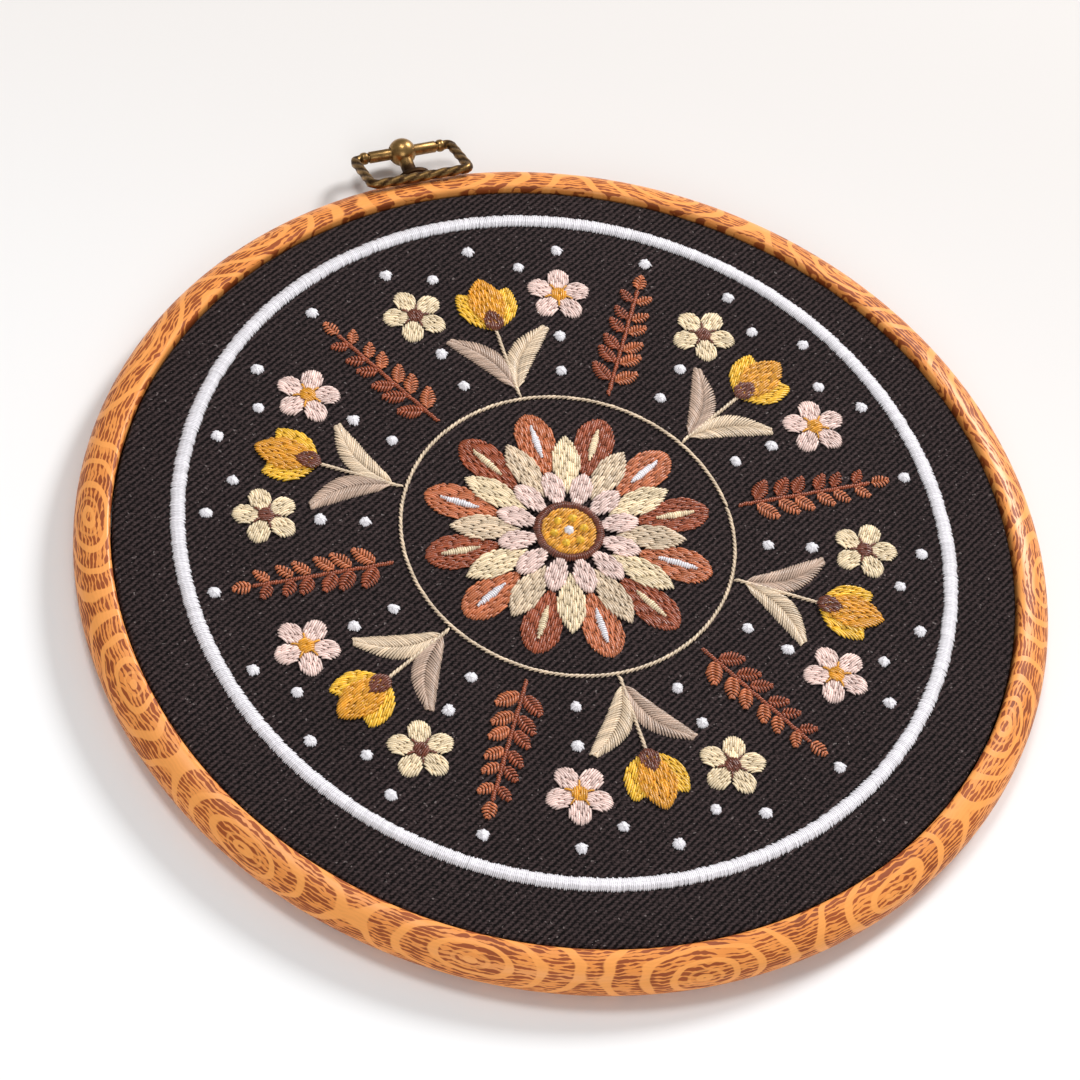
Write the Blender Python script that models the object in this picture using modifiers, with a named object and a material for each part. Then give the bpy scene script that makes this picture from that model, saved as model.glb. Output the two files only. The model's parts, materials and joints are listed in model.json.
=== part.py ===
"""Hoop embroidery art: a disc of cloth stretched in a two-part hoop, with a swinging hanger.

Metres. The hoop lies on its back: +Z is its face and z = 0 is the surface under it.
+Y points to the hanger, and the origin is under the middle of the whole object.
"""

from math import cos, hypot, pi, radians, sin

import bmesh
import bpy
from mathutils import Matrix

MM = 0.001
GAP = 0.3 * MM  # between pieces that touch

# The outer ring: a soft vinyl ring with a D section, flat on its back
OPENING_RADIUS = 76.2 * MM  # a six-inch hoop
RING_WIDTH = 5.9 * MM
RING_HALF_DEPTH = 4.1 * MM
RING_MIDDLE = 4.0 * MM  # height of the section's middle; the rest is the flat back
LIP_RADIUS = 0.8 * MM
LIP_STEPS = 3
RING_CREST = radians(80)  # where the lip meets the rounded outer side
BACK_MARGIN = 0.05 * MM  # the rounded side stops this far above the flat back
RING_STEPS = 96
SECTION_STEPS = 15

# The cloth: a flat face that turns down between the two rings
CLOTH_TOP = 7.0 * MM
CLOTH_THICKNESS = 1.0 * MM
CLOTH_TRIM = 0.8 * MM  # height at which the cloth is cut off behind
CLOTH_CORNER = 0.6 * MM

# The inner ring: a plain stiff ring behind the cloth
INNER_RING_WIDTH = 2.0 * MM
INNER_RING_CHAMFER = 0.3 * MM

# The stud: ball, neck, flange, and a shank set in the outer ring
BALL_DISTANCE = 89.6 * MM  # from the hoop's centre
BALL_RADIUS = 2.5 * MM
NECK_RADIUS = 1.25 * MM
NECK_FLARE = 1.8 * MM
FLANGE_RADIUS = 3.3 * MM
FLANGE_THICKNESS = 1.0 * MM
SHANK_RADIUS = 1.2 * MM
SHANK_DEPTH = 3.6 * MM
STUD_EDGE = 0.25 * MM
BALL_STEPS = 12
BALL_FOOT = -(pi / 2 - 0.5)  # angle on the ball at which the neck begins
NECK_TOP_DROP = 0.3 * MM  # from there down to the neck's full width
NECK_FLARE_START = 1.1 * MM  # above the flange
NECK_FLARE_END = 0.3 * MM
STUD_STEPS = 32

# The bail: a rectangular wire loop whose bar passes through the ball
BAIL_WIDTH = 18.2 * MM  # between the legs' middles
BAIL_LENGTH = 10.5 * MM  # from the bar's middle to the far side's middle
BAR_RADIUS = 1.05 * MM
LEG_RADIUS = 0.9 * MM
COLLAR_RADIUS = 1.15 * MM
COLLAR_PLACE = 7.2 * MM  # from the bar's middle
COLLAR_HALF = 0.5 * MM
COLLAR_RISE = 0.25 * MM
BAR_STEP = 2.7 * MM  # between the bar's points
CORNER_RADIUS = 1.1 * MM
CORNER_STEPS = 3
BAIL_SIDES_RESOLUTION = 2
FOLD_STEP = radians(0.25)
STEEPEST_FOLD = radians(60)
FOLD_SAMPLES = 20

OUTER_RADIUS = OPENING_RADIUS + RING_WIDTH
CLOTH_RADIUS = OPENING_RADIUS - GAP
INNER_RING_RADIUS = CLOTH_RADIUS - CLOTH_THICKNESS - GAP
HOOP_CENTRE_Y = -(BALL_DISTANCE + BALL_RADIUS - OUTER_RADIUS) / 2

COLORS = {
    "vinyl": ((0.62, 0.29, 0.10, 1.0), 0.35, 0.0),
    "stiff_plastic": ((0.72, 0.62, 0.46, 1.0), 0.55, 0.0),
    "twill": ((0.016, 0.013, 0.015, 1.0), 0.9, 0.0),
    "aged_brass": ((0.36, 0.24, 0.10, 1.0), 0.38, 1.0),
}


def clear_scene():
    for item in list(bpy.data.objects):
        bpy.data.objects.remove(item, do_unlink=True)


def make_material(name):
    color, roughness, metallic = COLORS[name]
    material = bpy.data.materials.new(name)
    material.use_nodes = True
    shader = material.node_tree.nodes["Principled BSDF"]
    shader.inputs["Base Color"].default_value = color
    shader.inputs["Roughness"].default_value = roughness
    shader.inputs["Metallic"].default_value = metallic
    material.diffuse_color = color
    return material


def arc(middle, radius, start, end, steps):
    """Points of an arc in the section plane, from angle start to angle end."""
    r, z = middle
    angles = [start + (end - start) * i / steps for i in range(steps + 1)]
    return [(r + radius * cos(a), z + radius * sin(a)) for a in angles]


def turned(name, profile, steps, closed, material, collection):
    """Turn a section of (radius, height) points about Z. It runs down its outer side."""
    shape = bmesh.new()
    points = [shape.verts.new((radius, 0.0, height)) for radius, height in profile]
    for first, second in zip(points, points[1:]):
        shape.edges.new((first, second))
    if closed:
        shape.edges.new((points[-1], points[0]))
    mesh = bpy.data.meshes.new(name)
    shape.to_mesh(mesh)
    shape.free()
    item = bpy.data.objects.new(name, mesh)
    collection.objects.link(item)
    screw = item.modifiers.new("turn", "SCREW")
    screw.angle = 2 * pi
    screw.steps = steps
    screw.render_steps = steps
    screw.use_smooth_shade = True
    screw.use_merge_vertices = True
    screw.merge_threshold = 0.00001
    mesh.materials.append(material)
    return item


def cutter(name, radius, length, place, turn, collection):
    """A cylinder that cuts a hole, centred on place."""
    shape = bmesh.new()
    bmesh.ops.create_cone(
        shape, cap_ends=True, segments=STUD_STEPS, radius1=radius, radius2=radius, depth=length
    )
    bmesh.ops.transform(shape, matrix=Matrix.Rotation(turn[0], 4, turn[1]), verts=shape.verts)
    mesh = bpy.data.meshes.new(name)
    shape.to_mesh(mesh)
    shape.free()
    item = bpy.data.objects.new(name, mesh)
    item.location = place
    item.hide_render = True
    item.display_type = "WIRE"
    collection.objects.link(item)
    return item


def cut(item, tool):
    boolean = item.modifiers.new(tool.name, "BOOLEAN")
    boolean.operation = "DIFFERENCE"
    boolean.solver = "EXACT"
    boolean.object = tool


def ring_section():
    """The outer ring's section: lip, rounded outer side, flat back, straight inner wall."""
    lip_middle = (
        OPENING_RADIUS + LIP_RADIUS,
        RING_MIDDLE + RING_HALF_DEPTH * sin(RING_CREST) - LIP_RADIUS,
    )
    section = arc(lip_middle, LIP_RADIUS, pi, pi - RING_CREST, LIP_STEPS)
    for i in range(SECTION_STEPS + 1):
        angle = RING_CREST - (RING_CREST + pi / 2) * i / SECTION_STEPS
        radius = OPENING_RADIUS + RING_WIDTH * cos(angle)
        height = RING_MIDDLE + RING_HALF_DEPTH * sin(angle)
        if height > BACK_MARGIN:
            section.append((radius, height))
    flat_angle_cos = (1 - (RING_MIDDLE / RING_HALF_DEPTH) ** 2) ** 0.5
    section.append((OPENING_RADIUS + RING_WIDTH * flat_angle_cos, 0.0))
    section.append((OPENING_RADIUS, 0.0))
    return section


def cloth_section():
    """The cloth's section: out along the face, down the skirt, and back along the underside."""
    inner_corner = CLOTH_CORNER / 2
    underside = CLOTH_TOP - CLOTH_THICKNESS
    skirt_inside = CLOTH_RADIUS - CLOTH_THICKNESS
    outer = arc(
        (CLOTH_RADIUS - CLOTH_CORNER, CLOTH_TOP - CLOTH_CORNER), CLOTH_CORNER, pi / 2, 0, 3
    )
    inner = arc(
        (skirt_inside - inner_corner, underside - inner_corner), inner_corner, 0, pi / 2, 2
    )
    trim = [(CLOTH_RADIUS, CLOTH_TRIM), (skirt_inside, CLOTH_TRIM)]
    return [(0.0, CLOTH_TOP)] + outer + trim + inner + [(0.0, underside)]


def inner_ring_section():
    top = CLOTH_TOP - CLOTH_THICKNESS - GAP
    inside = INNER_RING_RADIUS - INNER_RING_WIDTH
    chamfer = INNER_RING_CHAMFER
    return [
        (inside + chamfer, top),
        (INNER_RING_RADIUS - chamfer, top),
        (INNER_RING_RADIUS, top - chamfer),
        (INNER_RING_RADIUS, 0.0),
        (inside, 0.0),
        (inside, top - chamfer),
    ]


def stud_section():
    """The stud standing on its shank: heights are measured from the ball's middle."""
    flange_top = -(BALL_DISTANCE - OUTER_RADIUS - GAP - FLANGE_THICKNESS)
    flange_bottom = flange_top - FLANGE_THICKNESS
    shank_end = flange_bottom - SHANK_DEPTH
    ball = arc((0.0, 0.0), BALL_RADIUS, pi / 2, BALL_FOOT, BALL_STEPS)
    ball[0] = (0.0, BALL_RADIUS)
    return ball + [
        (NECK_RADIUS, ball[-1][1] - NECK_TOP_DROP),
        (NECK_RADIUS, flange_top + NECK_FLARE_START),
        (NECK_FLARE, flange_top + NECK_FLARE_END),
        (FLANGE_RADIUS - STUD_EDGE, flange_top),
        (FLANGE_RADIUS, flange_top - STUD_EDGE),
        (FLANGE_RADIUS, flange_bottom + STUD_EDGE),
        (FLANGE_RADIUS - STUD_EDGE, flange_bottom),
        (SHANK_RADIUS, flange_bottom),
        (SHANK_RADIUS, shank_end),
        (0.0, shank_end),
    ]


def bail_loop():
    """The bail's middle line, with the wire's radius at each point, in the bail's own plane."""
    half = BAIL_WIDTH / 2
    turn = CORNER_RADIUS
    bar = [(step * BAR_STEP, 0.0, BAR_RADIUS) for step in range(-2, 3)]
    collar = [
        (COLLAR_PLACE - COLLAR_HALF - COLLAR_RISE, 0.0, BAR_RADIUS),
        (COLLAR_PLACE - COLLAR_HALF, 0.0, COLLAR_RADIUS),
        (COLLAR_PLACE + COLLAR_HALF, 0.0, COLLAR_RADIUS),
        (COLLAR_PLACE + COLLAR_HALF + COLLAR_RISE, 0.0, LEG_RADIUS),
    ]
    near = arc((half - turn, -turn), turn, pi / 2, 0, CORNER_STEPS)
    far = arc((half - turn, turn - BAIL_LENGTH), turn, 0, -pi / 2, CORNER_STEPS)
    right = collar + [(x, y, LEG_RADIUS) for x, y in near[1:] + far]
    left = [(-x, y, radius) for x, y, radius in reversed(right)]
    return bar + right + left


def fold_angle(section):
    """How far the bail stands off the hoop's plane when it rests on the ring's face."""
    clear = LEG_RADIUS + GAP
    angle = STEEPEST_FOLD
    while angle > 0:
        leg = [BAIL_LENGTH * i / FOLD_SAMPLES for i in range(FOLD_SAMPLES + 1)]
        places = [
            (BALL_DISTANCE - d * cos(angle), RING_MIDDLE + d * sin(angle)) for d in leg
        ]
        nearest = min(hypot(r - sr, z - sz) for r, z in places for sr, sz in section)
        if nearest < clear:
            return angle + FOLD_STEP
        angle -= FOLD_STEP
    return angle


def make_bail(angle, pivot, material, collection):
    curve = bpy.data.curves.new("bail", "CURVE")
    curve.dimensions = "3D"
    curve.bevel_depth = 1.0
    curve.bevel_resolution = BAIL_SIDES_RESOLUTION
    curve.use_fill_caps = True
    points = bail_loop()
    spline = curve.splines.new("POLY")
    spline.points.add(len(points) - 1)
    for point, (x, y, radius) in zip(spline.points, points):
        point.co = (x, y, 0.0, 1.0)
        point.radius = radius
    spline.use_cyclic_u = True
    curve.materials.append(material)
    item = bpy.data.objects.new("bail", curve)
    item.parent = pivot
    item.rotation_euler.x = -angle
    collection.objects.link(item)
    return item


def main():
    clear_scene()
    parts = bpy.data.collections.new("hoop_embroidery_art")
    tools = bpy.data.collections.new("cutters")
    for collection in (parts, tools):
        bpy.context.scene.collection.children.link(collection)
    materials = {name: make_material(name) for name in COLORS}
    centre = (0.0, HOOP_CENTRE_Y, 0.0)
    ball_place = (0.0, HOOP_CENTRE_Y + BALL_DISTANCE, RING_MIDDLE)

    section = ring_section()
    outer_ring = turned("outer_ring", section, RING_STEPS, True, materials["vinyl"], parts)
    outer_ring.location = centre
    inner_ring = turned(
        "inner_ring", inner_ring_section(), RING_STEPS, True, materials["stiff_plastic"], parts
    )
    inner_ring.location = centre
    cloth = turned("cloth", cloth_section(), RING_STEPS, False, materials["twill"], parts)
    cloth.location = centre

    stud = turned("stud", stud_section(), STUD_STEPS, False, materials["aged_brass"], parts)
    stud.location = ball_place
    stud.rotation_euler.x = -pi / 2

    hole_depth = SHANK_DEPTH + GAP  # past the ring's rim
    shank_hole = cutter(
        "shank_hole",
        SHANK_RADIUS + GAP,
        2 * hole_depth,
        (0.0, HOOP_CENTRE_Y + OUTER_RADIUS, RING_MIDDLE),
        (pi / 2, "X"),
        tools,
    )
    cut(outer_ring, shank_hole)
    bar_bore = cutter(
        "bar_bore", BAR_RADIUS + GAP, 4 * BALL_RADIUS, ball_place, (pi / 2, "Y"), tools
    )
    cut(stud, bar_bore)

    pivot = bpy.data.objects.new("bail_pivot", None)
    pivot.location = ball_place
    parts.objects.link(pivot)
    angle = fold_angle(section)
    make_bail(angle, pivot, materials["aged_brass"], parts)
    print("bail stands off the hoop's plane by", round(angle * 180 / pi, 2), "degrees")


main()
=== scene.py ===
import json
from math import atan2, cos, pi, radians, sin, tau

import bmesh
import bpy
import numpy as np
from mathutils import Matrix, Vector


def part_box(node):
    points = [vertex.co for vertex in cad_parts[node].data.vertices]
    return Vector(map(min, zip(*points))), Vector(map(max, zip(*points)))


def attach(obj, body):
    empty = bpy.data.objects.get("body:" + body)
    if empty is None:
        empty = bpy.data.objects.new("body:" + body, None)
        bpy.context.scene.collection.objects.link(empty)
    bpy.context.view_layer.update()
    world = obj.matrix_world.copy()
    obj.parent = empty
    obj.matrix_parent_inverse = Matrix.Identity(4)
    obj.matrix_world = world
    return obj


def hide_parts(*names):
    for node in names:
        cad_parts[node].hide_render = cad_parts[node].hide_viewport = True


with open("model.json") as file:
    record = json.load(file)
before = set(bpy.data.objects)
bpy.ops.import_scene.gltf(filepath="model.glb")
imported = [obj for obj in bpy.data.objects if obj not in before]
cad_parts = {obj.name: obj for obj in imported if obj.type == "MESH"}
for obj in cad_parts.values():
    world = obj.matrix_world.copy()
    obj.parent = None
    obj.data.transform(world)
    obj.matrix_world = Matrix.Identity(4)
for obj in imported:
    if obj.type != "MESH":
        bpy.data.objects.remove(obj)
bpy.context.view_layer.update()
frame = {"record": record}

mm = 0.001
ringLow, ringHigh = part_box("outer_ring")
clothLow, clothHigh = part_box("cloth")
hoopCentre = Vector(((ringLow[0] + ringHigh[0]) / 2, (ringLow[1] + ringHigh[1]) / 2, 0))
outerRadius = (ringHigh[0] - ringLow[0]) / 2
clothRadius = (clothHigh[0] - clothLow[0]) / 2
clothTop = clothHigh[2]
swing = next(j for j in frame["record"]["behaviour"]["joints"] if j["name"] == "bail_swing")
ballPlace = Vector(swing["pos_m"])


# Shader expressions
class Signal:
    def __init__(self, graph, socket):
        self.graph = graph
        self.socket = socket

    def math(self, operation, *values):
        return self.graph.node("ShaderNodeMath", {"operation": operation}, dict(enumerate(values)))

    def __add__(self, other):
        return self.math("ADD", self, other)

    def __radd__(self, other):
        return self.math("ADD", other, self)

    def __sub__(self, other):
        return self.math("SUBTRACT", self, other)

    def __rsub__(self, other):
        return self.math("SUBTRACT", other, self)

    def __mul__(self, other):
        return self.math("MULTIPLY", self, other)

    def __truediv__(self, other):
        return self.math("DIVIDE", self, other)

    def __pow__(self, other):
        return self.math("POWER", self, other)

    def sine(self):
        return self.math("SINE", self)

    def fraction(self):
        return self.math("FRACT", self)

    def floor(self):
        return self.math("FLOOR", self)

    def size(self):
        return self.math("ABSOLUTE", self)

    def root(self):
        return self.math("SQRT", self)

    def between(self, low, high):  # 0 below low, 1 above high, smooth between
        settings = {"interpolation_type": "SMOOTHSTEP"}
        return self.graph.node("ShaderNodeMapRange", settings, {0: self, 1: low, 2: high})


class Graph:
    def __init__(self, name, **fixed):
        self.material = bpy.data.materials.new(name)
        self.material.use_nodes = True
        self.tree = self.material.node_tree
        self.shader = self.tree.nodes["Principled BSDF"]
        for key, value in fixed.items():
            self.shader.inputs[key].default_value = value

    def node(self, kind, settings=None, inputs=None, output=0):
        made = self.tree.nodes.new(kind)
        for key, value in (settings or {}).items():
            setattr(made, key, value)
        for key, value in (inputs or {}).items():
            if isinstance(value, Signal):
                self.tree.links.new(value.socket, made.inputs[key])
            else:
                made.inputs[key].default_value = value
        return Signal(self, made.outputs[output])

    def split(self, vector):
        first = self.node("ShaderNodeSeparateXYZ", inputs={0: vector})
        return [Signal(self, socket) for socket in first.socket.node.outputs]

    def join(self, x, y, z):
        return self.node("ShaderNodeCombineXYZ", inputs={0: x, 1: y, 2: z})

    def place(self):
        return self.node("ShaderNodeTexCoord", output="Object")

    def attribute(self, name):
        return self.node("ShaderNodeAttribute", {"attribute_name": name}, output="Fac")

    def noise(self, vector, scale=1.0, detail=2.0, rough=0.5):
        inputs = {"Vector": vector, "Scale": scale, "Detail": detail, "Roughness": rough}
        return self.node("ShaderNodeTexNoise", inputs=inputs, output="Fac")

    def mix(self, factor, first, second):
        return self.node("ShaderNodeMix", {"data_type": "RGBA"}, {0: factor, 6: first, 7: second}, 2)

    def tint(self, color, factor):  # a colour made lighter or darker by a number
        grey = self.join(factor, factor, factor)
        plain = color if isinstance(color, Signal) else color[:3]
        return self.node("ShaderNodeVectorMath", {"operation": "MULTIPLY"}, {0: plain, 1: grey})

    def use(self, **signals):
        for key, signal in signals.items():
            self.tree.links.new(signal.socket, self.shader.inputs[key.replace("_", " ")])

    def bump(self, height, distance, strength=1.0):
        inputs = {"Height": height, "Distance": distance, "Strength": strength}
        self.use(Normal=self.node("ShaderNodeBump", inputs=inputs))


def rgb(red, green, blue):  # linear colour from the everyday 0 to 255 scale
    def straight(value):
        value /= 255
        return value / 12.92 if value <= 0.04045 else ((value + 0.055) / 1.055) ** 2.4
    return (straight(red), straight(green), straight(blue), 1.0)


def finish(name, shape, material, body, nodes):
    mesh = bpy.data.meshes.new(name)
    shape.to_mesh(mesh)
    shape.free()
    mesh.shade_smooth()
    mesh.materials.append(material)
    piece = bpy.data.objects.new(name, mesh)
    bpy.context.scene.collection.objects.link(piece)
    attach(piece, body)
    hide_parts(*nodes)
    return piece


def turnedShape(profile, steps, closed=False):
    shape = bmesh.new()
    points = [shape.verts.new((radius, 0, height)) for radius, height in profile]
    edges = [shape.edges.new(pair) for pair in zip(points, points[1:])]
    if closed:
        edges.append(shape.edges.new((points[-1], points[0])))
    bmesh.ops.spin(
        shape, geom=points + edges, cent=(0, 0, 0), axis=(0, 0, 1), angle=tau,
        steps=steps, use_merge=True,
    )
    bmesh.ops.remove_doubles(shape, verts=shape.verts, dist=1e-6)
    bmesh.ops.recalc_face_normals(shape, faces=shape.faces)
    return shape


def arc(middle, radius, start, end, steps):
    spread = [start + (end - start) * i / steps for i in range(steps + 1)]
    return [(middle[0] + radius * cos(a), middle[1] + radius * sin(a)) for a in spread]


# The vinyl ring
ring = {
    "opening": 76.2 * mm,
    "halfDepth": 4.1 * mm,
    "middle": 4.0 * mm,
    "steps": 288,
    "sectionSteps": 32,
    "crestAngle": 80,  # degrees above the widest place, where the lip begins
    "backAngle": 77,  # degrees below it, where the flat back begins
    "lip": 0.8 * mm,
    "lipEnd": 100,
    "lipSteps": 6,
    "backEdge": 0.2 * mm,
    "innerTop": 4 * mm,
    "sharpAngle": 50,
    # The print, in mm along the ring and over its section
    "middleRadius": 79.0,
    "overPerRadian": 5.1,
    "flow": (6, 6, 0.12),  # scale of the wander round the ring and over it
    "wander": 3.4,
    "knots": 14,
    "firstKnot": -0.134,
    "bunching": ((2, 0.7, 0.03), (5, 2.0, 0.02)),  # waves in a turn, start and size
    "knotHeights": ((3, 1.0, 1.7), (5, 2.2, 1.4)),
    "knotMiddle": 4.2,
    "knotStretch": 2.1,  # a knot is this much longer along the ring than across it
    "knotCorner": 0.985,  # below 1, rounds the place where two knots meet
    "bandPitch": 2.3,  # between a knot's light bands, measured across
    "firstBand": 2.6,
    "bandEdge": (0.24, 0.38),
    "bandShare": 0.92,
    "heart": 1.3,
    "heartEdge": (0.08, 0.22),
    "heartShare": 0.7,
    "swellLength": 6.5,
    "swell": 0.28,
    "slowBend": 1.3,
    "quickBend": 0.75,
    "strokeLength": 2.3,
    "strokePitch": 0.54,
    "strokeEnds": (0.30, 0.66),
    "strokeWidth": 0.94,
    "strokeThin": 0.04,
    "strokeEdge": 0.12,
    "light": rgb(255, 170, 90),
    "ground": rgb(234, 144, 70),
    "darker": rgb(164, 78, 32),
    "streak": rgb(134, 60, 24),
}


def ringSection():
    opening = ring["opening"]
    lip = ring["lip"]
    width = outerRadius - opening
    crest = radians(ring["crestAngle"])
    sweep = crest + radians(ring["backAngle"])
    crestHeight = ring["middle"] + ring["halfDepth"] * sin(crest)
    lipMiddle = (opening + lip, crestHeight - lip)
    section = arc(lipMiddle, lip, pi, radians(ring["lipEnd"]), ring["lipSteps"])
    steps = ring["sectionSteps"]
    for i in range(steps + 1):
        angle = crest - sweep * i / steps
        radius = opening + width * cos(angle)
        section.append((radius, max(0, ring["middle"] + ring["halfDepth"] * sin(angle))))
    section.append((opening + ring["backEdge"], 0))
    section.append((opening, ring["backEdge"]))
    section.append((opening, ring["innerTop"]))
    return section


def waves(turn, rows):
    return [(turn * count + start).sine() * size for count, start, size in rows]


def grainMaterial():
    g = Graph("grainVinyl", **{"Coat Weight": 0.06, "Coat Roughness": 0.3, "Specular IOR Level": 0.3})
    x, y, z = g.split(g.place())
    y = y - hoopCentre.y
    turn = y.math("ARCTAN2", y, x)
    radius = (x * x + y * y).root()
    width = outerRadius - ring["opening"]
    level = (z - ring["middle"]) / ring["halfDepth"]
    tilt = level.math("ARCTAN2", level, (radius - ring["opening"]) / width)
    across = (pi / 2 - tilt) * ring["overPerRadian"]  # from the lip
    # The wander is the same at both ends of the turn
    flowCos, flowSin, flowAcross = ring["flow"]
    flow = g.join(turn.math("COSINE", turn) * flowCos, turn.sine() * flowSin, across * flowAcross)
    wander = (g.noise(flow, 1.0, 2.0) - 0.5) * ring["wander"]
    phase = turn + ring["firstKnot"]
    for wave in waves(turn, ring["bunching"]):
        phase = phase + wave
    middleRadius = ring["middleRadius"]
    cell = tau * middleRadius / ring["knots"]
    wave = (phase * (ring["knots"] / 2)).sine() * ring["knotCorner"]
    along = wave.math("ARCSINE", wave) * (cell / pi)
    slow, quick = waves(turn, ring["knotHeights"])
    fromKnot = across - (slow + quick + ring["knotMiddle"])
    reach = ((along / ring["knotStretch"]) ** 2 + fromKnot ** 2).root() + wander
    pitch = ring["bandPitch"]
    fromBand = (((reach - ring["firstBand"]) / pitch + 0.5).fraction() - 0.5).size() * pitch
    band = 1 - fromBand.between(*ring["bandEdge"])
    heart = 1 - (reach - ring["heart"]).size().between(*ring["heartEdge"])
    band = band.math("MAXIMUM", band, heart * ring["heartShare"])
    # Thin broken strokes that run along the ring and swell round each knot
    swell = along.math("EXPONENT", (along / ring["swellLength"]) ** 2 * -1)
    bend = (g.noise(g.join(x * 110, y * 110, z * 160), 1.0, 1.0) - 0.5) * ring["slowBend"]
    wavy = (g.noise(g.join(x * 420, y * 420, z * 420), 1.0, 1.0) - 0.5) * ring["quickBend"]
    course = (across - fromKnot * swell * ring["swell"] + bend + wavy) / ring["strokePitch"]
    offMiddle = (course.fraction() - 0.5).size() * 2
    strokesRound = middleRadius / ring["strokeLength"]
    strokeCos = turn.math("COSINE", turn) * strokesRound
    strokeSin = turn.sine() * strokesRound
    ends = g.noise(g.join(strokeCos, strokeSin, course.floor() * 7.31), 1.0, 2.0)
    thickness = ends.between(*ring["strokeEnds"]) * ring["strokeWidth"] - ring["strokeThin"]
    stroke = (thickness - offMiddle).between(-ring["strokeEdge"], ring["strokeEdge"])
    patches = g.noise(g.join(x * 90, y * 90, z * 90), 1.0, 2.0).between(0.3, 0.75)
    ground = g.mix(patches, ring["light"], ring["ground"])
    darker = g.mix(patches, ring["darker"], ring["streak"])
    marked = g.mix(stroke * 0.95, g.mix(0.45, ground, ring["ground"]), darker)
    g.use(Base_Color=g.mix(band * ring["bandShare"], marked, ring["light"]))
    printed = stroke * (1 - band)
    g.use(Roughness=0.36 + printed * 0.18)
    g.bump(1 - printed, 0.04 * mm, 0.5)
    return g.material


def makeRing():
    shape = turnedShape(ringSection(), ring["steps"], closed=True)
    bmesh.ops.translate(shape, verts=shape.verts, vec=hoopCentre)
    piece = finish("vinylRing", shape, grainMaterial(), "hoop", ["outer_ring"])
    piece.data.set_sharp_from_angle(angle=radians(ring["sharpAngle"]))
    print("ring made")


# The inner ring keeps its own shape
innerRing = {
    "light": rgb(222, 208, 184),
    "dark": rgb(206, 190, 164),
}


def makeInnerRing():
    g = Graph("paleRing")
    cloudy = g.noise(g.place(), 300.0, 3.0)
    g.use(Base_Color=g.mix(cloudy, innerRing["light"], innerRing["dark"]))
    g.use(Roughness=0.42 + cloudy * 0.2)
    g.bump(g.noise(g.place(), 2500.0, 2.0), 0.02 * mm, 0.4)
    mesh = bpy.data.objects["inner_ring"].data
    mesh.materials.clear()
    mesh.materials.append(g.material)
    print("inner ring painted")


# The cloth
twill = {
    "thickness": 0.55 * mm,
    "trim": 0.8 * mm,
    "corner": 0.6 * mm,
    "rings": 12,  # of faces from the middle to the edge
    "steps": 144,
    "sharpAngle": 50,
    "pitch": 0.91 * mm,  # between two diagonal lines
    "lean": 29.0,  # degrees that the lines rise to the right
    "wobble": 0.30 * mm,  # how far the lines wander
    "float": 0.60 * mm,
    "stagger": 0.37,  # of a float, from one line to the next
    "flat": 0.45,  # share of a line's height that its floats don't change
    "grain": 1.6,
    "fuzz": 1.5,
    "toneEdge": (-0.15, 1.35),
    "fleckEdge": (0.72, 0.78),
    # dark is the painted shade between the twill's ridges, lit the painted light on their tops
    "dark": rgb(8, 5, 6),
    "lit": rgb(78, 64, 64),
    "lint": rgb(150, 138, 136),
}


def twillMaterial():
    g = Graph("blackTwill", Roughness=0.9, **{"Specular IOR Level": 0.12})
    x, y, z = g.split(g.place())
    lean = radians(twill["lean"])
    wobble = (g.noise(g.place(), 220.0, 2.0) - 0.5) * twill["wobble"]
    up = y * cos(lean) - x * sin(lean) + wobble
    alongLine = x * cos(lean) + y * sin(lean)
    line = up / twill["pitch"]
    ridge = (line * tau).sine() * 0.5 + 0.5
    shifted = alongLine / twill["float"] + line.fraction() * 1.2 + line.floor() * twill["stagger"]
    yarn = ((shifted.fraction() - 0.5).size() * 2).between(1.0, 0.55)
    grain = g.noise(g.place(), 1700.0, 1.0) - 0.5
    fuzz = g.noise(g.place(), 3300.0, 2.0, 0.7) - 0.5
    lines = ridge * (twill["flat"] + yarn * (1 - twill["flat"]))
    height = lines + grain * twill["grain"] + fuzz * twill["fuzz"]
    # The colour follows the height: painted light on the ridge tops, painted shade in the grooves between
    # them, and random fibre speckle from grain and fuzz
    toneAndShading = height.between(*twill["toneEdge"])
    cloudy = g.noise(g.place(), 60.0, 2.0) * 0.35 + 0.70
    lint = g.noise(g.place(), 1500.0, 1.0).between(*twill["fleckEdge"])
    color = g.tint(g.mix(toneAndShading, twill["dark"], twill["lit"]), cloudy)
    g.use(Base_Color=g.mix(lint * 0.5, color, twill["lint"]))
    g.bump(height, 0.12 * mm, 0.7)
    return g.material


def makeCloth():
    corner = twill["corner"]
    inside = clothRadius - twill["thickness"]
    underside = clothTop - twill["thickness"]
    rings = twill["rings"]
    profile = [(0, clothTop)]
    profile += [(clothRadius * i / rings, clothTop) for i in range(1, rings)]
    profile += arc((clothRadius - corner, clothTop - corner), corner, pi / 2, 0, 5)
    profile += [(clothRadius, twill["trim"]), (inside, twill["trim"])]
    profile += arc((inside - corner / 2, underside - corner / 2), corner / 2, 0, pi / 2, 3)
    profile += [(0, underside)]
    shape = turnedShape(profile, twill["steps"])
    bmesh.ops.translate(shape, verts=shape.verts, vec=hoopCentre)
    piece = finish("twillCloth", shape, twillMaterial(), "hoop", ["cloth"])
    piece.data.set_sharp_from_angle(angle=radians(twill["sharpAngle"]))
    print("cloth made")
    return piece


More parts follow.
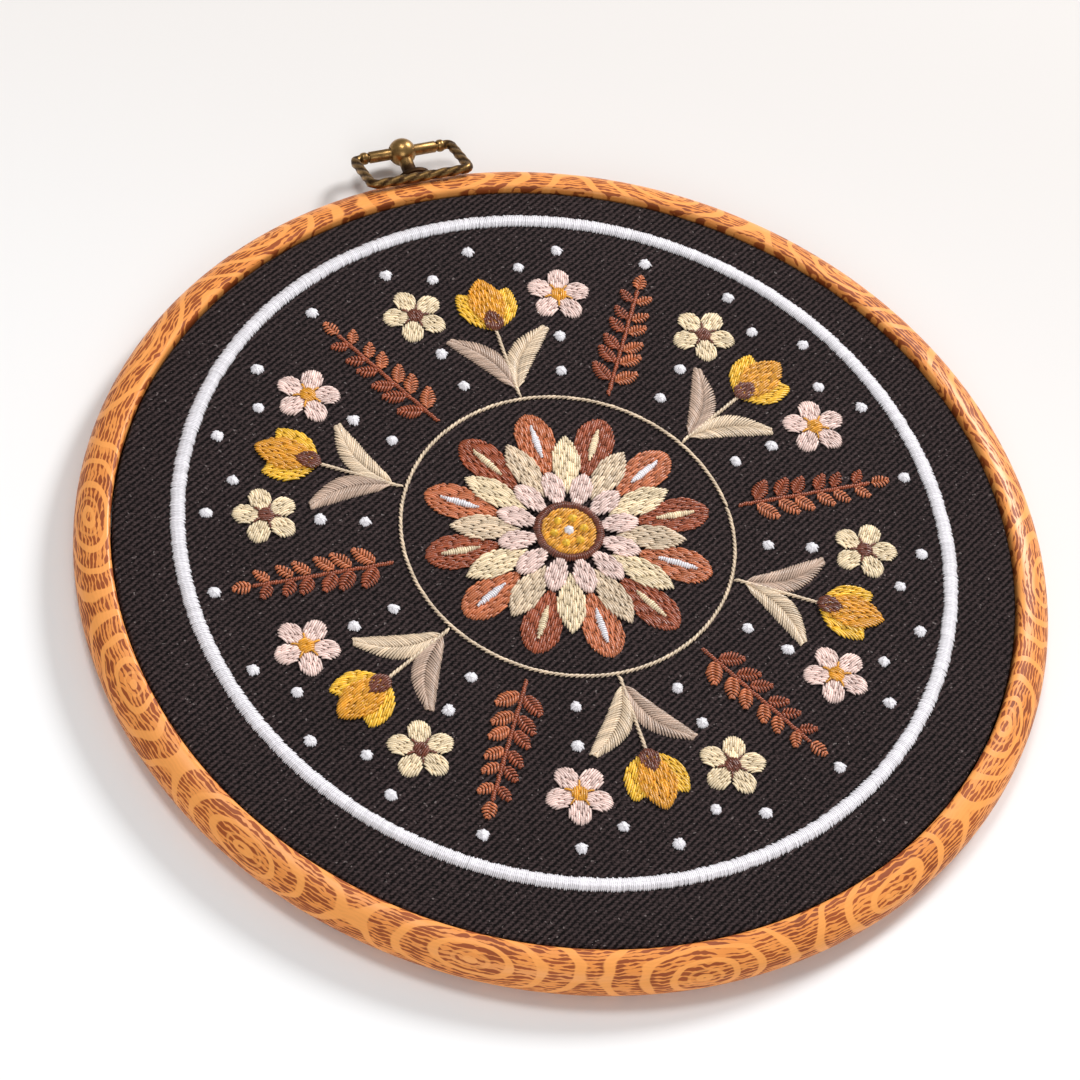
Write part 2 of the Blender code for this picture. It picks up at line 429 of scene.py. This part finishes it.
# Thread: every stitch is one short rounded strand, copied into place
thread = {
    "width": 0.42,  # mm, as are all the sizes of the design
    "height": 0.30,
    "widthScatter": (0.92, 1.08),
    "sag": -0.10,  # how deep a stitch's ends go into the cloth
    "rowPitch": 0.37,
    "stitchLength": 3.1,
    "lengthScatter": (0.9, 1.1),
    "firstStop": (0.35, 0.65),  # of a stitch's length, least and what the row adds
    "rowStagger": 0.382,
    "shortest": 0.7,  # two holes in a row aren't nearer than this
    "shortestRow": 0.45,
    "ragged": 0.16,
    "slip": 0.05,
    "overlap": 0.10,
    # Reach of the random per-stitch tone and its painted glints of sheen, for coloured threads and for white
    "toneSpread": 0.42,
    "whiteSpread": 0.14,
    "seed": 7,
}

threadColors = {
    "white": rgb(246, 243, 248),
    "cream": rgb(246, 224, 186),
    "beige": rgb(228, 204, 174),
    "taupe": rgb(196, 168, 148),
    "pink": rgb(244, 214, 204),
    "lightRust": rgb(200, 112, 66),
    "rust": rgb(160, 74, 34),
    "darkRust": rgb(112, 50, 24),
    "mustard": rgb(232, 160, 26),
    "yellow": rgb(252, 198, 48),
}

design = {
    "turn": -2.5,  # degrees from the line through the hanger
    "offset": (0.39, 2.38),
    "repeats": 6,
    "roundRadius": 28.2,
    "branchRadius": 28.6,
    "sprigRadius": 30.4,
    "sprigLength": 24.0,
    "flowerRadius": 50.5,
    "borderMiddle": 65.94,
    "borderWidth": 2.6,
    "borderSteps": 360,
    "oval": 0.0152,
}

chance = np.random.default_rng(thread["seed"])
spools = {name: [] for name in threadColors}
centre = (0, 0)


def stitch(color, start, end, level=0.0, lift=0.22, width=None):
    spools[color].append((*start, *end, level, lift, width or thread["width"]))


def between(first, second, share):
    return (first[0] + (second[0] - first[0]) * share, first[1] + (second[1] - first[1]) * share)


def away(origin, angle, distance):
    return (origin[0] + distance * cos(angle), origin[1] + distance * sin(angle))


def fillShape(color, outline, angle, level=0.0, lift=0.24):
    turn = np.array([[cos(-angle), -sin(-angle)], [sin(-angle), cos(-angle)]])
    points = np.array(outline) @ turn.T
    following = np.roll(points, -1, axis=0)
    pitch = thread["rowPitch"]
    step = thread["stitchLength"]
    shortest = thread["shortest"]
    overlap = thread["overlap"]
    leastStop, addedStop = thread["firstStop"]
    rows = np.arange(points[:, 1].min() + pitch / 2, points[:, 1].max(), pitch)
    for number, height in enumerate(rows):
        crossing = (points[:, 1] <= height) != (following[:, 1] <= height)
        first = points[crossing]
        second = following[crossing]
        share = (height - first[:, 1]) / (second[:, 1] - first[:, 1])
        crossings = np.sort(first[:, 0] + share * (second[:, 0] - first[:, 0]))
        for low, high in zip(crossings[::2], crossings[1::2]):
            low -= chance.uniform(0, thread["ragged"])
            high += chance.uniform(0, thread["ragged"])
            if high - low < thread["shortestRow"]:
                continue
            stops = [low]
            at = low + step * (leastStop + (number * thread["rowStagger"]) % 1 * addedStop)
            while at < high - shortest:
                if at - stops[-1] > shortest:
                    stops.append(at)
                at += step * chance.uniform(*thread["lengthScatter"])
            stops.append(high)
            for left, right in zip(stops, stops[1:]):
                slip = chance.uniform(-thread["slip"], thread["slip"])
                start = [left - overlap, height - slip]
                end = [right + overlap, height + slip]
                ends = np.array([start, end]) @ turn
                stitch(color, ends[0], ends[1], level, lift)


def satinBand(
    color, path, width, level=0.0, lift=0.3, pitch=0.38, slant=0.0, closed=False, ragged=0.1, strand=None
):
    # Stitches side by side across a path. width is a number, or a function of the share along it
    path = np.array(path)
    if closed:
        path = np.vstack([path, path[:1]])
    steps = np.hypot(*np.diff(path, axis=0).T)
    reached = np.concatenate([[0], np.cumsum(steps)])
    count = max(2, int(reached[-1] / pitch))
    for i in range(count):
        at = reached[-1] * (i + 0.5) / count
        wide = width(at / reached[-1]) if callable(width) else width
        ends = []
        for side in (-1, 1):
            moved = min(max(at + side * slant * wide / 2, 0), reached[-1])
            place = np.array([np.interp(moved, reached, path[:, axis]) for axis in (0, 1)])
            ahead = min(max(np.searchsorted(reached, moved, side="right"), 1), len(path) - 1)
            along = (path[ahead] - path[ahead - 1]) / steps[ahead - 1]
            normal = np.array([-along[1], along[0]])
            ends.append(place + normal * side * (wide / 2 + chance.uniform(-ragged, ragged)))
        stitch(color, ends[0], ends[1], level + chance.uniform(-0.02, 0.02), lift, strand)


def petalOutline(base, angle, length, halfWidth, fullness=1.25, roundness=0.72, steps=22):
    left = []
    right = []
    for i in range(steps + 1):
        share = i / steps
        half = halfWidth * max(0, sin(pi * share ** fullness)) ** roundness
        middle = away(base, angle, length * share)
        left.append(away(middle, angle + pi / 2, half))
        right.append(away(middle, angle - pi / 2, half))
    return left + right[::-1]


def petal(color, base, angle, length, halfWidth, level=0.0, fullness=1.25, roundness=0.72):
    fillShape(color, petalOutline(base, angle, length, halfWidth, fullness, roundness), angle, level)


def leaf(color, base, angle, length, halfWidth, bend=0.0, level=0.0):
    # Two halves of slanted satin that meet at the midrib
    pitch = 0.50
    slope = 0.16  # share of the length that a stitch climbs
    fullness = 0.93
    overlap = 0.12
    edgeWidth = 0.18
    count = max(4, int(length / pitch))
    for side in (-1, 1):
        for i in range(count):
            share = (i + 0.5) / count
            if side > 0:
                share += 0.25 / count
            middle = away(away(base, angle, length * share), angle + pi / 2, bend * sin(pi * share))
            ahead = min(1.0, share + slope)
            half = halfWidth * sin(pi * min(1, ahead * fullness)) ** 0.9 + edgeWidth
            edge = away(away(base, angle, length * ahead), angle + pi / 2, bend * sin(pi * ahead))
            edge = away(edge, angle + side * pi / 2, half + chance.uniform(-0.08, 0.08))
            start = away(middle, angle - side * pi / 2, overlap)
            stitch(color, start, edge, level + chance.uniform(-0.04, 0.04), lift=0.26, width=0.40)


def disc(color, middle, radius, angle=0.0, level=0.0):
    outline = [away(middle, tau * i / 28, radius) for i in range(28)]
    fillShape(color, outline, angle, level)


def circlePath(middle, radius, steps=120):
    return [away(middle, tau * i / steps, radius) for i in range(steps)]


def knot(color, middle, radius=1.15, level=0.0):
    # Two layers of strands through one point make a plump dot with a ragged edge
    layers = ((8, 1.0), (5, 0.68))
    scatter = (0.84, 1.12)
    first = chance.uniform(0, pi)
    for layer, (spokes, reach) in enumerate(layers):
        for i in range(spokes):
            angle = first + layer + pi * i / spokes
            low = away(middle, angle + pi, radius * reach * chance.uniform(*scatter))
            high = away(middle, angle, radius * reach * chance.uniform(*scatter))
            stitch(color, low, high, level + 0.10 * layer, lift=0.42, width=0.48)


def curve(start, control, end, steps=24):
    points = []
    for i in range(steps + 1):
        share = i / steps
        points.append(between(between(start, control, share), between(control, end, share), share))
    return points


def rosette():
    for i in range(12):
        angle = radians(90 + 30 * i)
        petalColor, veinColor = ("rust", "cream") if i % 2 else ("lightRust", "white")
        base = away(centre, angle, 11.5)
        petal(petalColor, base, angle, length=13.5, halfWidth=3.35, fullness=1.5, roundness=0.6)
        vein = [away(centre, angle, 15.5), away(centre, angle, 22.3)]
        satinBand(veinColor, vein, lambda share: 0.35 + 1.0 * sin(pi * share), level=0.32, lift=0.25)
    for i in range(12):
        angle = radians(105 + 30 * i)
        color = "cream" if i % 2 else "beige"
        base = away(centre, angle, 8.0)
        petal(color, base, angle, length=12.0, halfWidth=2.5, level=0.30, fullness=1.15, roundness=0.9)
    for i in range(12):
        angle = radians(90 + 30 * i)
        base = away(centre, angle, 4.8)
        petal("pink", base, angle, length=7.6, halfWidth=1.9, level=0.55, fullness=1.35, roundness=0.65)
    satinBand("darkRust", circlePath(centre, 5.3, steps=60), width=1.5, level=0.75, closed=True)
    disc("mustard", centre, radius=4.7, angle=radians(35), level=0.7)
    for i in range(6):
        knot("yellow", away(centre, radians(60 * i), 2.6), radius=0.8, level=0.95)
    knot("white", centre, radius=0.9, level=1.0)


def tulip(base, angle):
    for side in (-1, 1):
        outer = angle + side * 0.50
        petal("yellow", base, outer, length=9.6, halfWidth=2.6, level=0.05, fullness=1.1, roundness=0.75)
    petal("mustard", base, angle, length=11.0, halfWidth=3.1, level=0.30, fullness=1.1, roundness=0.72)
    foot = away(base, angle, -0.4)
    petal("darkRust", foot, angle, length=4.4, halfWidth=1.7, level=0.5, fullness=0.8, roundness=0.8)


def smallFlower(middle, angle, color, heart):
    petals = 5
    for i in range(petals):
        turn = angle + tau * i / petals
        base = away(middle, turn, 0.6)
        petal(color, base, turn, length=5.0, halfWidth=1.9, level=0.05, fullness=1.35, roundness=0.62)
    disc(heart, middle, radius=1.35, angle=angle, level=0.32)
    for i in range(petals):
        turn = angle + tau * (i + 0.5) / petals
        stitch(heart, away(middle, turn, 1.0), away(middle, turn, 2.6), level=0.3, lift=0.2, width=0.36)


def sprig(base, angle, length):
    tip = away(base, angle, length)
    stem = curve(base, between(base, tip, 0.5), tip)
    satinBand("rust", stem, width=0.75, lift=0.22, pitch=0.42, slant=0.6)
    pairs = 6
    for i in range(pairs):
        share = 0.16 + 0.72 * i / (pairs - 1)
        step = int(share * (len(stem) - 1))
        at = stem[step]
        ahead = stem[min(len(stem) - 1, step + 1)]
        heading = atan2(ahead[1] - at[1], ahead[0] - at[0])
        long = 5.0 * (1 - 0.42 * share)
        for side in (-1, 1):
            leafColor = "rust" if side > 0 else "lightRust"
            foot = away(at, heading + side * pi / 2, 0.3)
            leaf(leafColor, foot, heading + side * 0.85, long, halfWidth=long * 0.27, level=0.1)
    leaf("lightRust", tip, angle, length=3.4, halfWidth=1.1, level=0.1)


def branch(angle):
    # A stem with two long leaves and a tulip
    foot = away(centre, angle, design["branchRadius"])
    neck = away(centre, angle, 44.0)
    satinBand("beige", [foot, neck], width=0.5, level=0.05, lift=0.25, pitch=0.8, slant=3.4, ragged=0.04)
    for side in (-1, 1):
        color = "taupe" if side > 0 else "beige"
        base = away(foot, angle, 1.6)
        leaf(color, base, angle + side * 0.62, length=15.0, halfWidth=2.2, bend=side * -1.8)
    tulip(away(centre, angle, 43.4), angle)


def drawDesign():
    repeats = design["repeats"]
    sixth = 360 / repeats
    rosette()
    satinBand(
        "beige", circlePath(centre, design["roundRadius"]), width=0.5, level=0.05, lift=0.25,
        pitch=0.85, slant=3.4, closed=True, ragged=0.04,
    )
    for i in range(repeats):
        branch(radians(90 + sixth * i))
        heading = radians(60 + sixth * i)
        sprig(away(centre, heading, design["sprigRadius"]), heading, design["sprigLength"])
    for i in range(2 * repeats):
        angle = radians(15 + sixth / 2 * i)
        colors = ("cream", "darkRust") if i % 2 else ("pink", "mustard")
        smallFlower(away(centre, angle, design["flowerRadius"]), angle, *colors)
        knot("white", away(centre, angle, 41.5))
        knot("white", away(centre, angle, 34.0), radius=1.05)
        knot("white", away(centre, angle, 60.4))
        knot("white", away(centre, angle - radians(15), 60.8))
    for i in range(repeats):
        for side in (-1, 1):
            angle = radians(90 + sixth * i) + side * radians(8.0)
            knot("white", away(centre, angle, 56.5), radius=1.05)
    steps = design["borderSteps"]
    path = []
    for i in range(steps):
        angle = tau * i / steps
        radius = design["borderMiddle"] * (1 - design["oval"] * cos(2 * angle))
        path.append(away(centre, angle, radius))
    satinBand(
        "white", path, design["borderWidth"], lift=0.5, pitch=0.32, slant=0.04, closed=True,
        ragged=0.13, strand=0.36,
    )


def strandTemplate():
    # One stitch from x 0 to 1, round in y and z, drawn in at its ends
    sides = 5
    spans = [(0.0, 0.45), (0.10, 0.92), (0.36, 1.0), (0.64, 1.0), (0.90, 0.92), (1.0, 0.45)]
    shape = bmesh.new()
    made = bmesh.ops.create_circle(
        shape, cap_ends=True, segments=sides, radius=0.5,
        matrix=Matrix.Rotation(pi / 2, 4, "Y"),
    )
    loop = list(shape.edges)
    bmesh.ops.scale(shape, vec=(1, spans[0][1], spans[0][1]), verts=made["verts"])
    for (before, widthBefore), (after, widthAfter) in zip(spans, spans[1:]):
        grown = bmesh.ops.extrude_edge_only(shape, edges=loop)["geom"]
        verts = [item for item in grown if isinstance(item, bmesh.types.BMVert)]
        loop = [item for item in grown if isinstance(item, bmesh.types.BMEdge)]
        loop = [edge for edge in loop if all(vert in verts for vert in edge.verts)]
        bmesh.ops.translate(shape, verts=verts, vec=(after - before, 0, 0))
        share = widthAfter / widthBefore
        bmesh.ops.scale(shape, vec=(1, share, share), verts=verts)
    bmesh.ops.contextual_create(shape, geom=loop)
    bmesh.ops.recalc_face_normals(shape, faces=shape.faces)
    mesh = bpy.data.meshes.new("strand")
    shape.to_mesh(mesh)
    shape.free()
    return mesh


def threadMaterial(name, color):
    g = Graph(name, **{"Sheen Weight": 0.25, "Sheen Roughness": 0.35, "Specular IOR Level": 0.7})
    shade = g.attribute("shade")
    x, y, z = g.split(g.node("ShaderNodeAttribute", {"attribute_name": "strand"}, output="Vector"))
    ply = ((x * 1.15 + y) * tau).sine()  # the thread's own twist
    # Painted shade at each end of a stitch, where it dives into the cloth
    tipShade = (z - 0.5).size().between(0.34, 0.5)
    spread = thread["whiteSpread"] if name == "thread_white" else thread["toneSpread"]
    # Random tone per stitch, whose squared share lifts some stitches into painted glints of sheen; the ply
    # term paints light on the twist's ridges and shade in its grooves
    toneAndShading = 0.98 - spread * 0.38 + shade * shade * spread + ply * 0.07 - tipShade * 0.16
    g.use(Base_Color=g.tint(color, toneAndShading))
    g.use(Roughness=0.30 + shade * 0.14)
    g.bump(ply, 0.02 * mm, 0.6)
    return g.material


def sewThreads():
    template = strandTemplate()
    count = len(template.vertices)
    base = np.empty(count * 3)
    template.vertices.foreach_get("co", base)
    base = base.reshape(-1, 3)
    along = base[:, 0]
    # Each stitch dives into the cloth at both ends and stands up between them
    rise = 1 - np.abs(along * 2 - 1) ** 3.0
    around = np.arctan2(base[:, 2], base[:, 1]) / tau
    faceSizes = np.array([len(face.vertices) for face in template.polygons])
    faceVerts = np.concatenate([list(face.vertices) for face in template.polygons])
    turn = radians(design["turn"])
    spin = np.array([[cos(turn), -sin(turn)], [sin(turn), cos(turn)]])
    total = 0
    pieces = []
    for name, rows in spools.items():
        rows = np.array(rows, dtype=float)
        number = len(rows)
        start = (rows[:, 0:2] + design["offset"]) @ spin.T
        end = (rows[:, 2:4] + design["offset"]) @ spin.T
        level, lift, width = rows[:, 4:5], rows[:, 5:6], rows[:, 6:7]
        run = end - start
        length = np.hypot(run[:, 0], run[:, 1])[:, None]
        side = np.stack([-run[:, 1], run[:, 0]], axis=1) / length
        width = width * chance.uniform(*thread["widthScatter"], width.shape)
        flat = start[:, None, :] + run[:, None, :] * along[None, :, None]
        flat = flat + side[:, None, :] * (width[:, :, None] * base[None, :, 1:2])
        sag = thread["sag"]
        high = level + sag + (lift - sag) * rise[None, :] + thread["height"] * base[None, :, 2]
        points = np.concatenate([flat, high[:, :, None]], axis=2) * mm
        points[:, :, 0] += hoopCentre.x
        points[:, :, 1] += hoopCentre.y
        points[:, :, 2] += clothTop
        mesh = bpy.data.meshes.new("thread_" + name)
        mesh.vertices.add(number * count)
        mesh.vertices.foreach_set("co", points.reshape(-1).astype(np.float32))
        loops = (faceVerts[None, :] + (np.arange(number) * count)[:, None]).reshape(-1)
        mesh.loops.add(len(loops))
        mesh.loops.foreach_set("vertex_index", loops.astype(np.int32))
        sizes = np.tile(faceSizes, number)
        mesh.polygons.add(len(sizes))
        starts = np.concatenate([[0], np.cumsum(sizes)[:-1]])
        mesh.polygons.foreach_set("loop_start", starts.astype(np.int32))
        mesh.update(calc_edges=True)
        mesh.validate()
        mesh.shade_smooth()
        # A random number per stitch: the thread's material makes it a random tone, and through its square
        # painted glints of sheen
        shade = np.repeat(chance.uniform(0, 1, number), count)
        mesh.attributes.new("shade", "FLOAT", "POINT").data.foreach_set("value", shade)
        strand = np.stack([
            (along[None, :] * length).reshape(-1),
            np.tile(around, number),
            np.tile(along, number),
        ], axis=1)
        mesh.attributes.new("strand", "FLOAT_VECTOR", "POINT").data.foreach_set("vector", strand.reshape(-1))
        mesh.materials.append(threadMaterial("thread_" + name, threadColors[name]))
        piece = bpy.data.objects.new("thread_" + name, mesh)
        bpy.context.scene.collection.objects.link(piece)
        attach(piece, "hoop")
        pieces.append(piece)
        total += number
    bpy.data.meshes.remove(template)
    print("stitches:", total, "faces:", total * len(faceSizes))
    return pieces


# The hanger
hanger = {
    "ball": 2.5 * mm,
    "ballFoot": 0.52,  # radians from its axis where the ball ends
    "ballSteps": 22,
    "neck": 1.25 * mm,
    "neckTop": ((1.04, 0.25 * mm), (1, 0.6 * mm)),  # of the neck's radius, and below the ball's end
    "flare": ((1.5 * mm, 0.6 * mm), (2.0 * mm, 0.2 * mm)),  # radius, and above the flange
    "flareStart": 1.2 * mm,
    "flangeRadius": 3.3 * mm,
    "flangeThickness": 1.0 * mm,
    "flangeEdge": 0.3 * mm,
    "flangeGap": 0.3 * mm,
    "shank": 1.2 * mm,
    "shankLength": 3.5 * mm,
    "studSteps": 56,
    "sharpAngle": 40,
    "bar": 1.05 * mm,
    "boreGap": 0.2 * mm,
    "boreSteps": 48,
    "barEnd": 6.3 * mm,
    "barEdge": 0.18 * mm,
    "barSteps": 32,
    "collarMiddle": 7.15 * mm,
    "collarHalf": 0.62 * mm,
    "collarRound": (0.80, 0.26),  # of the bar's radius, at the collar's ends and added between
    "wire": 0.9 * mm,
    "wireStart": 6.0 * mm,
    "wireStep": 0.22 * mm,
    "wireSides": 15,
    "width": 18.2 * mm,
    "length": 10.5 * mm,
    "corner": 1.1 * mm,
    "fold": 25.0,
    "twistPitch": 8.0 * mm,
    "lobes": 3,
    "lobeDepth": 0.2,
    "light": rgb(172, 136, 84),
    "brown": rgb(62, 43, 27),
}


def brassMaterial(name, wear):
    g = Graph(name, Metallic=1.0)
    blotch = g.noise(g.place(), 700.0, 4.0, 0.6)
    fine = g.noise(g.place(), 4200.0, 3.0, 0.6)
    hollow = g.attribute("hollow")
    dull = (blotch * 0.9 + fine * 0.6 + hollow * 0.9 - wear).between(0.1, 0.9)
    g.use(Base_Color=g.mix(dull, hanger["light"], hanger["brown"]))
    g.use(Roughness=0.30 + dull * 0.26)
    g.bump(fine, 0.02 * mm, 0.4)
    return g.material


def setHollow(mesh, values):
    mesh.attributes.new("hollow", "FLOAT", "POINT").data.foreach_set("value", values)


def boreStud(piece):
    drill = bmesh.new()
    radius = hanger["bar"] + hanger["boreGap"]
    bmesh.ops.create_cone(
        drill, cap_ends=True, segments=hanger["boreSteps"], radius1=radius, radius2=radius,
        depth=4 * hanger["ball"],
        matrix=Matrix.Translation(ballPlace) @ Matrix.Rotation(pi / 2, 4, "Y"),
    )
    drillMesh = bpy.data.meshes.new("drill")
    drill.to_mesh(drillMesh)
    drill.free()
    tool = bpy.data.objects.new("drill", drillMesh)
    bpy.context.scene.collection.objects.link(tool)
    boolean = piece.modifiers.new("bore", "BOOLEAN")
    boolean.object = tool
    boolean.solver = "EXACT"
    bpy.context.view_layer.update()
    bored = bpy.data.meshes.new_from_object(piece.evaluated_get(bpy.context.evaluated_depsgraph_get()))
    piece.modifiers.clear()
    piece.data = bored
    bpy.data.objects.remove(tool, do_unlink=True)
    return bored


def makeStud():
    rim = outerRadius - (ballPlace.y - hoopCentre.y)  # the ring's edge, seen from the ball
    flangeBottom = rim + hanger["flangeGap"]
    flangeTop = rim + hanger["flangeGap"] + hanger["flangeThickness"]
    flangeMiddle = hanger["flangeRadius"] - hanger["flangeEdge"]
    edge = hanger["flangeEdge"]
    profile = arc((0, 0), hanger["ball"], pi / 2, -pi / 2 + hanger["ballFoot"], hanger["ballSteps"])
    profile[0] = (0, hanger["ball"])
    ballEnd = profile[-1][1]
    profile += [(hanger["neck"] * share, ballEnd - drop) for share, drop in hanger["neckTop"]]
    profile.append((hanger["neck"], flangeTop + hanger["flareStart"]))
    profile += [(radius, flangeTop + rise) for radius, rise in hanger["flare"]]
    profile += arc((flangeMiddle, flangeTop - edge), edge, pi / 2, 0, 4)
    profile += arc((flangeMiddle, flangeBottom + edge), edge, 0, -pi / 2, 4)
    shankEnd = flangeBottom - hanger["shankLength"]
    profile += [(hanger["shank"], flangeBottom), (hanger["shank"], shankEnd), (0, shankEnd)]
    shape = turnedShape(profile, hanger["studSteps"])
    toPlace = Matrix.Translation(ballPlace) @ Matrix.Rotation(-pi / 2, 4, "X")
    bmesh.ops.transform(shape, matrix=toPlace, verts=shape.verts)
    piece = finish("brassStud", shape, brassMaterial("studBrass", 0.45), "hoop", ["stud"])
    piece.data.set_sharp_from_angle(angle=radians(hanger["sharpAngle"]))
    bored = boreStud(piece)
    places = np.empty(len(bored.vertices) * 3)
    bored.vertices.foreach_get("co", places)
    fromBall = ballPlace.y - places.reshape(-1, 3)[:, 1]
    # Browner from the ball's foot down to the flange
    setHollow(bored, np.clip((fromBall - 2.3 * mm) / (3 * mm), 0, 1) * 1.1)
    print("stud made")


def addBar(shape):
    # The bar, with a collar near each end
    bar = hanger["bar"]
    barEnd = hanger["barEnd"]
    edge = hanger["barEdge"]
    steps = hanger["barSteps"]
    half = hanger["collarHalf"]
    foot, swell = hanger["collarRound"]
    profile = [(0, barEnd), (bar - edge, barEnd), (bar, barEnd - edge), (bar, 0)]
    profile += [(radius, -height) for radius, height in reversed(profile[:-1])]
    parts = [turnedShape(profile, steps)]
    spread = [pi * i / 10 for i in range(11)]
    collar = [(0, half)] + [(bar * (foot + swell * sin(a)), half * cos(a)) for a in spread] + [(0, -half)]
    for side in (-1, 1):
        bead = turnedShape(collar, steps)
        bmesh.ops.translate(bead, verts=bead.verts, vec=(0, 0, side * hanger["collarMiddle"]))
        parts.append(bead)
    for part in parts:
        bmesh.ops.transform(part, matrix=Matrix.Rotation(pi / 2, 4, "Y"), verts=part.verts)
        mesh = bpy.data.meshes.new("part")
        part.to_mesh(mesh)
        part.free()
        shape.from_mesh(mesh)
        bpy.data.meshes.remove(mesh)


def wireRoute():
    # Out of one collar, round the three sides, into the other
    half = hanger["width"] / 2
    turn = hanger["corner"]
    route = [(hanger["wireStart"], 0)]
    route += arc((half - turn, -turn), turn, pi / 2, 0, 6)
    route += arc((half - turn, turn - hanger["length"]), turn, 0, -pi / 2, 6)
    route += [(-x, y) for x, y in reversed(route)]
    spaced = [Vector((*route[0], 0))]
    for first, second in zip(route, route[1:]):
        first, second = Vector((*first, 0)), Vector((*second, 0))
        pieces = max(1, int((second - first).length / hanger["wireStep"]))
        spaced += [first.lerp(second, (i + 1) / pieces) for i in range(pieces)]
    return spaced


def addWire(shape, route):
    # A twisted wire swept along its route. Gives back how deep each point lies in the twist
    sides = hanger["wireSides"]
    travelled = 0
    loop = None
    hollows = []
    for i, place in enumerate(route):
        ahead = route[min(i + 1, len(route) - 1)] - route[max(i - 1, 0)]
        ahead.normalize()
        outward = Vector((ahead.y, -ahead.x, 0))
        if i:
            travelled += (place - route[i - 1]).length
        twist = tau * travelled / hanger["twistPitch"]
        ringPoints = []
        for k in range(sides):
            angle = tau * k / sides
            lobe = 0.5 + 0.5 * cos(hanger["lobes"] * (angle - twist))
            depth = 1 - lobe ** 0.6
            radius = hanger["wire"] * (1 - hanger["lobeDepth"] * depth)
            ringPoints.append(place + outward * radius * cos(angle) + Vector((0, 0, radius * sin(angle))))
            hollows.append(depth)
        if loop is None:
            made = bmesh.ops.create_circle(shape, cap_ends=True, segments=sides, radius=hanger["wire"])
            verts = made["verts"]
            loop = [edge for edge in {edge for vert in verts for edge in vert.link_edges}]
        else:
            grown = bmesh.ops.extrude_edge_only(shape, edges=loop)["geom"]
            loop = [item for item in grown if isinstance(item, bmesh.types.BMEdge)]
            fresh = {item for item in grown if isinstance(item, bmesh.types.BMVert)}
            loop = [edge for edge in loop if edge.verts[0] in fresh and edge.verts[1] in fresh]
            mates = {}
            for vert in fresh:
                for edge in vert.link_edges:
                    other = edge.other_vert(vert)
                    if other not in fresh:
                        mates[other] = vert
            verts = [mates[vert] for vert in verts]
        for vert, point in zip(verts, ringPoints):
            vert.co = point
    bmesh.ops.contextual_create(shape, geom=loop)
    return np.array(hollows)


def makeBail():
    shape = bmesh.new()
    addBar(shape)
    barVerts = len(shape.verts)
    hollows = addWire(shape, wireRoute())
    bmesh.ops.recalc_face_normals(shape, faces=shape.faces)
    toPlace = Matrix.Translation(ballPlace) @ Matrix.Rotation(-radians(hanger["fold"]), 4, "X")
    bmesh.ops.transform(shape, matrix=toPlace, verts=shape.verts)
    shape.verts.index_update()
    piece = finish("brassBail", shape, brassMaterial("bailBrass", 0.42), "bail", ["bail"])
    values = np.full(len(piece.data.vertices), 0.1)
    values[barVerts:barVerts + len(hollows)] = 0.05 + 0.6 * hollows
    setHollow(piece.data, values)
    print("bail made")


# Floor, light and camera
studio = {
    "floorSize": 6,
    "floorDrop": 0.05 * mm,  # just clear of the rings' flat backs
    # floorFar is the same floor with painted shade, darker where less light reaches the far side
    "floorNear": rgb(247, 248, 249),
    "floorFar": rgb(226, 222, 219),
    "farWay": (0.52, 0.85),  # towards the far side of the floor
    "farEdge": (-0.10, 0.14),
    "world": (1.0, 0.985, 0.975, 1.0),
    "worldStrength": 0.33,
}

# Direction from the hoop, distance and size in metres, and power in watts
lamps = {
    "overheadKey": {"toward": (-0.07, 0.24, 0.97), "distance": 2.2, "size": 0.7, "power": 14.5},
    "backWindow": {"toward": (0.72, 0.41, 0.56), "distance": 2.2, "size": 0.6, "power": 37.0},
    "frontFill": {"toward": (-0.25, -0.80, 0.54), "distance": 2.2, "size": 1.2, "power": 11.0},
}


eye = {
    "place": (-195.5, -315.2, 517.4),  # mm from the middle of the cloth's face
    "forward": (0.3000, 0.4989, -0.8131),
    "roll": 14.35,
    "lens": 127.5,
    "sensor": 36,
}


def makeStudio():
    bpy.ops.mesh.primitive_plane_add(size=studio["floorSize"])
    floor = bpy.context.object
    floor.name = "studioFloor"
    floor.location.z = -studio["floorDrop"]
    g = Graph("floorPaint", Roughness=0.7)
    x, y, z = g.split(g.place())
    # The floor is painted darker towards its far side: painted shade
    distance = x * studio["farWay"][0] + y * studio["farWay"][1]
    farShade = distance.between(*studio["farEdge"])
    g.use(Base_Color=g.mix(farShade, studio["floorNear"], studio["floorFar"]))
    floor.data.materials.append(g.material)
    world = bpy.data.worlds.new("studioAir")
    world.use_nodes = True
    background = world.node_tree.nodes["Background"]
    background.inputs[0].default_value = studio["world"]
    background.inputs[1].default_value = studio["worldStrength"]
    bpy.context.scene.world = world
    for name, lamp in lamps.items():
        light = bpy.data.lights.new(name, "AREA")
        light.shape = "DISK"
        light.size = lamp["size"]
        light.energy = lamp["power"]
        source = bpy.data.objects.new(name, light)
        direction = Vector(lamp["toward"]).normalized()
        source.location = direction * lamp["distance"]
        source.rotation_euler = direction.to_track_quat("Z", "Y").to_euler()
        bpy.context.scene.collection.objects.link(source)


def makeCamera():
    lens = bpy.data.cameras.new("eye")
    lens.sensor_width = eye["sensor"]
    lens.lens = eye["lens"]
    camera = bpy.data.objects.new("eye", lens)
    camera.location = Vector(eye["place"]) * mm + hoopCentre + Vector((0, 0, clothTop))
    aim = Vector(eye["forward"]).to_track_quat("-Z", "Y").to_matrix().to_4x4()
    camera.rotation_euler = (aim @ Matrix.Rotation(radians(eye["roll"]), 4, "Z")).to_euler()
    bpy.context.scene.collection.objects.link(camera)
    bpy.context.scene.camera = camera
    bpy.context.scene.view_settings.view_transform = "Standard"


makeCamera()
makeStudio()
makeRing()
makeInnerRing()
cloth = makeCloth()
drawDesign()
threads = sewThreads()
makeStud()
makeBail()
